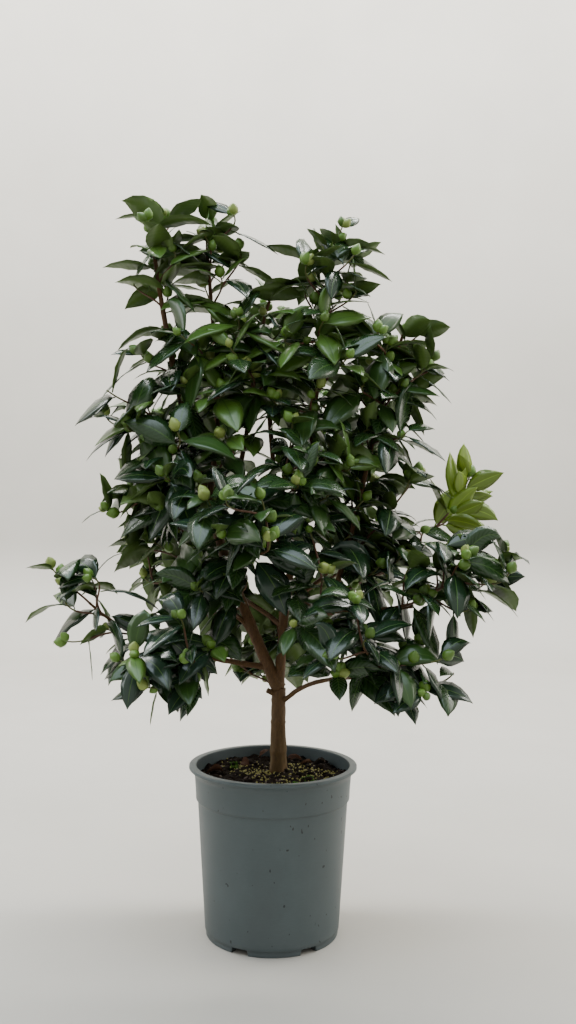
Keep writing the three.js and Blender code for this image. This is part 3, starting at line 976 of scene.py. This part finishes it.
def compost_mesh(around=240, rings=84):
    """The compost: a plug whose top is compost_height, turned down at the wall to a flat underside."""
    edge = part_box("compost")[1].x - 0.2 * MM
    angles = around_circle(around)
    reach = np.linspace(edge, 1.5 * MM, rings)[:, None] * np.ones(around)
    top = compost_height(reach * np.cos(angles), reach * np.sin(angles))
    under = np.array([2 * MM, edge * 0.5, edge * 0.94, edge * 0.955])[:, None] * np.ones(around)
    bottom = np.array([205, 205, 205, 214])[:, None] * MM + 0 * under
    radii, heights = np.concatenate([under, reach]), np.concatenate([bottom, top])
    return round_surface(radii, heights, around), list(tube_faces(1, len(radii), around))


def scatter(count, rng, inner=16 * MM, outer=112 * MM):
    """Random points on the compost, evenly over the ring between two radii."""
    reach = np.sqrt(rng.uniform(inner**2, outer**2, count))
    angle = rng.uniform(0, 2 * math.pi, count)
    x, y = reach * np.cos(angle), reach * np.sin(angle)
    return np.stack([x, y, compost_height(x, y)], -1)


# Where the patches of feed and of moss lie on the compost, in millimetres from the pot's axis.
FEED_PATCHES = [
    [-32, 4], [-14, -16], [34, 30], [56, 4], [84, 8], [62, -32], [24, -62], [-6, -88], [-62, 38],
]
MOSS_PATCHES = [[58, -44], [38, -80], [8, -94], [-66, 40]]


def clustered(middles, count, spread, rng):
    """Random points on the compost in patches: normally distributed round each middle in turn."""
    picks = np.arange(count) % len(middles)
    places = np.array(middles)[picks] * MM + rng.normal(0, spread, (count, 2))
    x, y = places[np.hypot(*places.T) < 109 * MM].T
    return np.stack([x, y, compost_height(x, y) + 0.8 * MM], -1)


def pebbles(places, sizes, rng, rings=4, sides=7, flat=0.8, length=1.0):
    """Small lumps: short tubes whose radius follows sin(pi t)^0.5 with a random dent at each vertex."""
    count = len(places)
    heading = rng.uniform(0, 2 * math.pi, count)
    ways = unit(np.stack([np.cos(heading), np.sin(heading), rng.normal(0, 0.35, count)], -1))
    shares = (np.arange(rings) + 0.5) / rings
    paths = places[:, None] + ways[:, None] * ((shares - 0.5)[:, None] * (sizes * length)[:, None, None])
    radii = sizes[:, None, None] / 2 * (np.sin(math.pi * shares) ** 0.5)[:, None]
    radii = radii * rng.uniform(0.75, 1.15, (count, rings, sides))
    points = tube_points(paths, radii, sides, flat)
    return points.reshape(-1, 3), list(tube_faces(count, rings, sides))


DEAD_LEAF_COLOURS = {
    "dead leaf": (0.038, 0.015, 0.007),
    "dead leaf underside": (0.050, 0.024, 0.012),
}


def fallen_leaves(rng):
    """Curled brown leaves that lie on the compost behind the trunk and at its left."""
    x, y = np.array([[-52, 52], [-24, 80], [62, 60], [20, 92], [-78, 8]]).T * MM
    count = len(x)
    heading = rng.uniform(0, 2 * math.pi, count)
    seats = {
        "foot": np.stack([x, y, compost_height(x, y) + 3 * MM], -1),
        "way": unit(np.stack([np.cos(heading), np.sin(heading), rng.uniform(0.1, 0.45, count)], -1)),
        "face": unit(UP + 0.5 * rng.normal(size=(count, 3))),
        "length": rng.uniform(26, 38, count) * MM,
        "width": np.full(count, 0.45),
        "sag": rng.uniform(0.5, 0.8, count),
        "fold": rng.uniform(0.5, 0.8, count),
    }
    tops, backs = np.zeros(count, int), np.ones(count, int)
    return leaf_blades(seats, 3).reshape(-1, 3), *leaf_faces(tops, backs, backs)


# ---- Pieces ----


def finish_piece(piece, slot, *replaced):
    """Says what body a piece is on, and hides the CAD nodes that it stands for. The slot is not used."""
    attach(piece, "root")
    if replaced:
        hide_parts(*replaced)


def leaf_scars(places, seed):
    """The height of the rings that dropped leaves have left round a limb, 22 to 46 mm apart. Each is
    exp(-(d / 2.2 mm)^2) at a distance d along the limb."""
    scars = np.cumsum(np.random.default_rng(seed).uniform(22, 46, 40)) * MM
    return np.exp(-(((places[:, None] - scars) / (2.2 * MM)) ** 2)).sum(1)


def limb_mesh(name, line, radius, relief):
    """A limb with bark relief: a round tube along its smoothed line. Its radius is multiplied by
    1 + relief times long ripples and rings of old leaf scars, and flares by a third where it leaves its
    parent. The trunk spreads into five low buttresses where it meets the compost."""
    is_trunk = name == "trunk"
    sides, step = (28, 3 * MM) if is_trunk else (14, 6 * MM)
    length = lengths_along(line)[-1]
    rings = max(14, round(length / step))
    places = np.linspace(0, length, rings)
    path = at_length(line, places)
    for _ in range(3):
        path[1:-1] = (path[:-2] + 2 * path[1:-1] + path[2:]) / 4
    thick = np.interp(places, lengths_along(line), radius)
    if is_trunk:
        path[0, 2] -= 6 * MM  # down into the compost
    else:
        thick = thick * (1 + 0.3 * np.exp(-places / (14 * MM)))
    angles = around_circle(sides)
    _, across, above = carried_axes(path)
    skin = path[:, None] + thick[:, None, None] * turned(angles, across[:, None], above[:, None])
    drawn = skin * np.array([1, 1, 0.16])
    swell = relief * (0.7 * ripples(drawn, 9 * MM, 21) + 0.5 * ripples(drawn, 4 * MM, 22))
    swell = swell + 0.09 * leaf_scars(places, len(name) * 7 + rings)[:, None]
    if is_trunk:
        low = np.exp(-places / (16 * MM))[:, None]
        swell = swell + low * (0.12 + 0.16 * np.cos(5 * angles + 0.6))
    points = tube_points(path[None], (thick[:, None] * (1 + swell))[None], sides)[0]
    return points, list(tube_faces(1, rings, sides))


def pruned_stub():
    """The cut end of an old side shoot just under the fork: a short tube with a flat end, a little wider
    behind the cut."""
    trunk = next(line for name, line, _ in limb_lines() if name == "trunk")
    foot = trunk[-1] - np.array([4, 2, 9]) * MM
    way = unit(np.array([-0.86, -0.25, 0.42]))
    reach = np.array([0.0, 6, 12, 15, 16, 16.1]) * MM
    path = foot + way * reach[:, None]
    radii = np.array([5.5, 4.6, 4.2, 4.3, 4.0, 0.5]) * MM
    sides = 14
    return tube_points(path[None], radii[None], sides)[0], list(tube_faces(1, len(path), sides))


REGIONS = {
    "left": ("left", "middle"),
    "centre": ("centre", "front"),
    "right": ("right", "outer"),
    "back": ("back", "low"),
    "young": ("pale",),
}


def region_of(mass):
    """The side of the crown that a mass belongs to, from the first word of its name."""
    word = mass.split("_")[0]
    return next(region for region, words in REGIONS.items() if word in words)


class CAMELLIA_OT_pot(bpy.types.Operator):
    """Make the moulded pot with its lip, collar, feet and drain notches"""

    bl_idname = "camellia.pot"
    bl_label = "Pot"

    def execute(self, context):
        settings = context.scene.camellia_pot
        points, faces = pot_mesh(settings)
        plastic = plastic_finish("pot plastic", settings.plastic)
        piece = put_piece("nursery_pot", points, faces, [plastic])
        finish_piece(piece, "pot_plastic", "pot")
        return {"FINISHED"}


class CAMELLIA_OT_compost(bpy.types.Operator):
    """Fill the pot with crumbly compost, bark chips, feed granules and a little moss"""

    bl_idname = "camellia.compost"
    bl_label = "Compost"

    def execute(self, context):
        colour = context.scene.camellia_pot.compost
        rng = np.random.default_rng(5)
        surface = put_piece("compost_surface", *compost_mesh(), [compost_finish("compost", colour)])
        finish_piece(surface, "compost", "compost")

        sizes = np.concatenate([rng.uniform(3, 9, 520), rng.uniform(10, 17, 46)]) * MM
        places = np.concatenate([scatter(520, rng), scatter(46, rng, inner=62 * MM, outer=104 * MM)])
        clods = pebbles(places, sizes, rng, flat=0.7, length=1.2)
        put_topping("compost_clods", clods, compost_finish("clod", shade(colour, 1.3)))

        chips = pebbles(scatter(190, rng), rng.uniform(2, 4.5, 190) * MM, rng, flat=0.4, length=3.2)
        put_topping("bark_chips", chips, twig_finish("bark chip", (0.034, 0.016, 0.008)))

        places = clustered(FEED_PATCHES, 620, 15 * MM, rng)
        feed_grains = pebbles(places, rng.uniform(1.8, 3.2, len(places)) * MM, rng, flat=1.0)
        put_topping("feed_granules", feed_grains, bud_finish("feed granule", (0.23, 0.21, 0.05)))

        places = clustered(MOSS_PATCHES, 330, 6 * MM, rng)
        tufts = pebbles(places, rng.uniform(2.2, 5, len(places)) * MM, rng, flat=1.0, length=0.9)
        put_topping("moss", tufts, compost_finish("moss", (0.035, 0.085, 0.012)))

        points, faces, slots, uvs = fallen_leaves(rng)
        brown = [leaf_finish(*dead, 0.8, 0.6, 0.2) for dead in DEAD_LEAF_COLOURS.items()]
        put_topping("fallen_leaves", (points, faces), *brown, slots=slots, uvs=uvs)
        return {"FINISHED"}


def put_topping(name, shape, *finishes, **more):
    """Makes one of the kinds of things that lie on the compost."""
    finish_piece(put_piece(name, *shape, list(finishes), **more), "compost")


class CAMELLIA_OT_wood(bpy.types.Operator):
    """Make the trunk and limbs with the relief of their bark"""

    bl_idname = "camellia.wood"
    bl_label = "Trunk and limbs"

    def execute(self, context):
        settings = context.scene.camellia_wood
        parts = [limb_mesh(*limb, settings.relief) for limb in limb_lines()]
        points, faces = join_sets(parts + [pruned_stub()])
        piece = put_piece("trunk_and_limbs", points, faces, [bark_finish("bark", settings)])
        finish_piece(piece, "bark", *nodes_in("bark"))
        return {"FINISHED"}


class CAMELLIA_OT_twigs(bpy.types.Operator):
    """Grow the shoots that carry the leaves, red-brown at the foot and green at the tip"""

    bl_idname = "camellia.twigs"
    bl_label = "Twigs"

    def execute(self, context):
        foliage = context.scene.camellia_foliage
        wood = context.scene.camellia_wood
        shoots = grown_shrub(foliage.seed, round(foliage.shoot_spacing, 6))
        paths = np.stack([shoot["path"] for shoot in shoots])
        thick = np.array([shoot["radius"] for shoot in shoots])
        shares = np.linspace(0, 1, SHOOT_STEPS)
        radii = thick[:, None] * (1 - shares) + 1.1 * MM * shares
        sides = 7
        points = tube_points(paths, radii, sides).reshape(-1, 3)
        faces = list(tube_faces(len(paths), SHOOT_STEPS, sides))
        is_green = np.arange(SHOOT_STEPS - 1) >= SHOOT_STEPS - 5
        slots = [np.tile(np.repeat(ring, sides), len(paths)) for ring in (is_green, [0, 1])]
        green = blend_colours(wood.young_bark, foliage.bright_leaf, 0.5)
        finishes = [twig_finish("young bark", wood.young_bark), twig_finish("green shoot", green)]
        finish_piece(put_piece("twigs", points, faces, finishes, slots), "bark")
        return {"FINISHED"}


# The odds that a leaf has the first of the five greens, one of the first two, and so on, before painted
# light shifts them by height.
SHADE_ODDS = [0.07, 0.40, 0.68, 0.88]
# The places of the other finishes in the list that leaf_finishes returns.
YOUNG_GREEN, YOUNG_SHADE, RIB, UNDERSIDE_LIT_THROUGH, YOUNG_RIB = range(5, 10)


def leaf_slots(seats, rng):
    """The finishes of each leaf's top, midrib and underside. A spray shares its luck, but for one leaf in
    six or so, and higher leaves have more of it: painted light from above, which also paints low leaves
    darker. More luck is a lighter green."""
    count = len(seats["spray"])
    sprays = int(seats["spray"].max()) + 1
    luck = rng.uniform(0, 1, sprays)[seats["spray"]] + rng.uniform(-0.08, 0.08, count)
    stray = rng.uniform(size=count) < 0.18
    luck = np.where(stray, rng.uniform(0, 1, count), luck)
    # painted light: luck rises by up to 0.2 high in the crown and falls by 0.1 below half a metre
    painted_light_by_height = 0.3 * ease(0.5, 1.0, seats["foot"][:, 2]) - 0.1
    green = np.searchsorted(SHADE_ODDS, np.clip(luck + painted_light_by_height, 0, 0.999))
    young = np.isin(seats["mass"], nodes_in("young_leaf"))
    top = np.where(young, np.where(seats["rank"] % 2, YOUNG_SHADE, YOUNG_GREEN), green)
    return np.stack([top, np.where(young, YOUNG_RIB, RIB), np.where(young, YOUNG_SHADE, UNDERSIDE_LIT_THROUGH)])


class CAMELLIA_OT_leaves(bpy.types.Operator):
    """Grow the leaves, joined into one piece for each side of the crown"""

    bl_idname = "camellia.leaves"
    bl_label = "Leaves"

    def execute(self, context):
        foliage = context.scene.camellia_foliage
        seats = leaf_seats(foliage)
        points, kept = kept_blades(seats, foliage.seed + 6)
        seats = {key: value[kept] for key, value in seats.items()}
        leaf_kinds = leaf_slots(seats, np.random.default_rng(foliage.seed + 3))
        finishes = leaf_finishes(foliage)
        regions = np.array([region_of(mass) for mass in seats["mass"]])
        for region in REGIONS:
            chosen = regions == region
            faces, slots, uvs = leaf_faces(*leaf_kinds[:, chosen])
            skin = points[chosen].reshape(-1, 3)
            piece = put_piece(f"leaves_{region}", skin, faces, finishes, slots, uvs)
            masses = [mass for mass in nodes_in("leaf", "young_leaf") if region_of(mass) == region]
            finish_piece(piece, "young_leaf" if region == "young" else "leaf", *masses)
        return {"FINISHED"}


def leaf_finishes(foliage):
    """The finishes of the leaves: five greens from the darkest up, two for the pale shoot, the midrib, the
    underside, paler than the top and lighter still as painted light shining through the leaf, and the pale
    shoot's midrib."""
    greens = [
        blend_colours(foliage.dark_leaf, (0.018, 0.040, 0.026), 0.7),
        foliage.dark_leaf,
        blend_colours(foliage.dark_leaf, foliage.mid_leaf, 0.45),
        foliage.mid_leaf,
        foliage.bright_leaf,
        foliage.young_leaf,
        shade(foliage.young_leaf, 0.7),
    ]
    gloss = [0.24, 0.25, 0.28, 0.3, 0.33, 0.36, 0.34]
    tops = [
        leaf_finish(f"leaf green {number}", green, dull, 0.03)
        for number, (green, dull) in enumerate(zip(greens, gloss), 1)
    ]
    rib = leaf_finish("midrib", blend_colours(foliage.mid_leaf, foliage.bright_leaf, 0.4), 0.4, 0.1)
    # underside: partly the leaf's paler back, partly painted light shining through the leaf
    under = leaf_finish("leaf underside", foliage.underside, 0.5, 0.1)
    young_rib = leaf_finish("young midrib", shade(foliage.young_leaf, 1.35), 0.4, 0.1)
    return tops + [rib, under, young_rib]


class CAMELLIA_OT_buds(bpy.types.Operator):
    """Set the round flower buds at the tips of the shoots"""

    bl_idname = "camellia.buds"
    bl_label = "Buds"

    def execute(self, context):
        foliage = context.scene.camellia_foliage
        points = bud_points(*bud_seats(foliage))
        count = len(points)
        faces = list(tube_faces(count, BUD_RINGS, BUD_SIDES))
        rng = np.random.default_rng(foliage.seed + 4)
        tone = rng.choice(3, count, p=[0.5, 0.3, 0.2])
        slots = [np.repeat(tone, (BUD_RINGS - 1) * BUD_SIDES), np.repeat(tone, 2 * BUD_SIDES)]
        pale = blend_colours(foliage.bud, (0.33, 0.36, 0.10), 0.5)
        greens = [foliage.bud, shade(foliage.bud, 0.72), pale]
        finishes = [bud_finish(f"bud green {i + 1}", green) for i, green in enumerate(greens)]
        piece = put_piece("flower_buds", points.reshape(-1, 3), faces, finishes, slots)
        finish_piece(piece, "bud")
        return {"FINISHED"}


# ---- Stage ----


def carried_profile(x, y, z):
    """A sheet whose profile (y, z) is carried along X: one point for each x and each profile point."""
    points = np.stack([np.repeat(x, len(y)), np.tile(y, len(x)), np.tile(z, len(x))], -1)
    column, row = cells(len(x) - 1, len(y) - 1)
    first = column * len(y) + row
    faces = np.stack([first, first + len(y), first + len(y) + 1, first + 1], -1)
    return points, [faces.reshape(-1, 4)]


def wall_sheet(half_width=9.0, back=3.4, bend=0.5, top=9.0):
    """A wall behind the plant that curves up out of the floor: a quarter circle joins the two."""
    turn = np.radians(np.linspace(0, 90, 25))
    y = np.concatenate([back - bend + bend * np.sin(turn), [back]])
    z = np.concatenate([bend - bend * np.cos(turn), [top]])
    return carried_profile(np.linspace(-half_width, half_width, 9), y, z)


def floor_sheet(half_width=60.0, reach=90.0):
    """A level sheet under and all round the plant."""
    rows = np.linspace(-reach, reach, 9)
    return carried_profile(np.linspace(-half_width, half_width, 9), rows, 0 * rows)


def put_light(name, kind, place, target, **values):
    """A light that faces a target. The values are the light's own: its energy, colour and size, or for a
    sun the angle that its light comes from."""
    light = bpy.data.lights.new(name, kind)
    for key, value in values.items():
        setattr(light, key, value)
    lamp = bpy.data.objects.new(name, light)
    lamp.location = place
    lamp.rotation_mode = "QUATERNION"
    lamp.rotation_quaternion = (Vector(target) - Vector(place)).to_track_quat("-Z", "Y")
    bpy.context.scene.collection.objects.link(lamp)


def put_panel(name, place, target, power, size, colour):
    """A rectangular studio light."""
    sides = {"shape": "RECTANGLE", "size": size[0], "size_y": size[1]}
    put_light(name, "AREA", place, target, energy=power, color=colour, **sides)


def put_camera(place, lens, roll):
    """A camera that looks level along +Y, rolled a little about its own axis."""
    camera = bpy.data.objects.new("camera", bpy.data.cameras.new("camera"))
    camera.data.lens = lens
    camera.data.sensor_width = 36
    camera.data.clip_start = 0.05
    camera.location = place
    camera.rotation_mode = "QUATERNION"
    level = Quaternion((1, 0, 0), math.radians(90))
    camera.rotation_quaternion = level @ Quaternion((0, 0, 1), roll)
    bpy.context.scene.collection.objects.link(camera)
    bpy.context.scene.camera = camera


def floor_finish(colour):
    """Pale painted floor with faint clouds of wear."""
    material, shader = shader_of("floor", colour, 0.6, specular=0.3)
    clouds = noise(material, 2.2, (1, 1, 1), 5.0)
    stops = [(0.3, shade(colour, 0.95)), (0.7, shade(colour, 1.04))]
    feed(shader.inputs["Base Color"], ramp(material, clouds, stops))
    return material


class CAMELLIA_OT_stage(bpy.types.Operator):
    """Set the floor, the soft studio light and the camera"""

    bl_idname = "camellia.stage"
    bl_label = "Stage"

    def execute(self, context):
        settings = context.scene.camellia_stage
        finish = floor_finish(settings.floor)
        put_piece("studio_floor", *floor_sheet(), [finish])
        put_piece("studio_wall", *wall_sheet(), [finish])

        world = bpy.data.worlds.new("studio")
        world.use_nodes = True
        background = world.node_tree.nodes["Background"]
        background.inputs["Color"].default_value = (*settings.fill, 1)
        background.inputs["Strength"].default_value = 1.0
        context.scene.world = world

        soft = {"energy": 1.5, "angle": math.radians(150), "color": (1, 0.98, 0.94)}
        put_light("skylight", "SUN", (-0.15, -0.6, 1.0), (0, 0, 0), **soft)
        put_panel("overhead", (-0.3, -0.6, 2.9), (0, 0, 0.6), 54, (2.5, 1.5), (0.72, 0.87, 1))
        put_panel("left window", (-2.4, 0.2, 1.6), (0, 0, 0.6), 26, (1.0, 1.8), (0.97, 0.98, 1))
        put_panel("right window", (2.4, 0.2, 1.6), (0, 0, 0.6), 34, (1.0, 1.8), (1, 0.95, 0.86))
        put_panel("wall wash", (0, 1.4, 4.2), (0, 3.4, 1.5), 800, (8.0, 0.8), (1, 0.99, 0.96))

        put_camera((0.0202, -1.578, 0.647), 35.83, math.radians(0.43))
        return {"FINISHED"}


class CAMELLIA_PT_panel(bpy.types.Panel):
    """Settings of the potted camellia, with a button for each piece"""

    bl_idname = "CAMELLIA_PT_panel"
    bl_label = "Potted camellia"
    bl_space_type = "VIEW_3D"
    bl_region_type = "UI"
    bl_category = "Camellia"

    def draw(self, context):
        for group, kind, operators in GROUPS:
            box = self.layout.box()
            for name in kind.__annotations__:
                box.prop(getattr(context.scene, group), name)
            for operator in operators:
                box.operator(operator.bl_idname)


# Each group of settings, and the operators that read it, in the order that they run.
GROUPS = (
    ("camellia_stage", CamelliaStageSettings, (CAMELLIA_OT_stage,)),
    ("camellia_pot", CamelliaPotSettings, (CAMELLIA_OT_pot, CAMELLIA_OT_compost)),
    ("camellia_wood", CamelliaWoodSettings, (CAMELLIA_OT_wood, CAMELLIA_OT_twigs)),
    ("camellia_foliage", CamelliaFoliageSettings, (CAMELLIA_OT_leaves, CAMELLIA_OT_buds)),
)
OPERATORS = [operator for _, _, operators in GROUPS for operator in operators]
CLASSES = [*[kind for _, kind, _ in GROUPS], *OPERATORS, CAMELLIA_PT_panel]


def register():
    for kind in CLASSES:
        bpy.utils.register_class(kind)
    for group, kind, _ in GROUPS:
        setattr(bpy.types.Scene, group, PointerProperty(type=kind))


def unregister():
    for group, _, _ in GROUPS:
        delattr(bpy.types.Scene, group)
    for kind in reversed(CLASSES):
        bpy.utils.unregister_class(kind)


def main():
    register()
    for operator in OPERATORS:
        getattr(bpy.ops.camellia, operator.bl_idname.split(".")[1])()


if __name__ == "__main__":
    main()
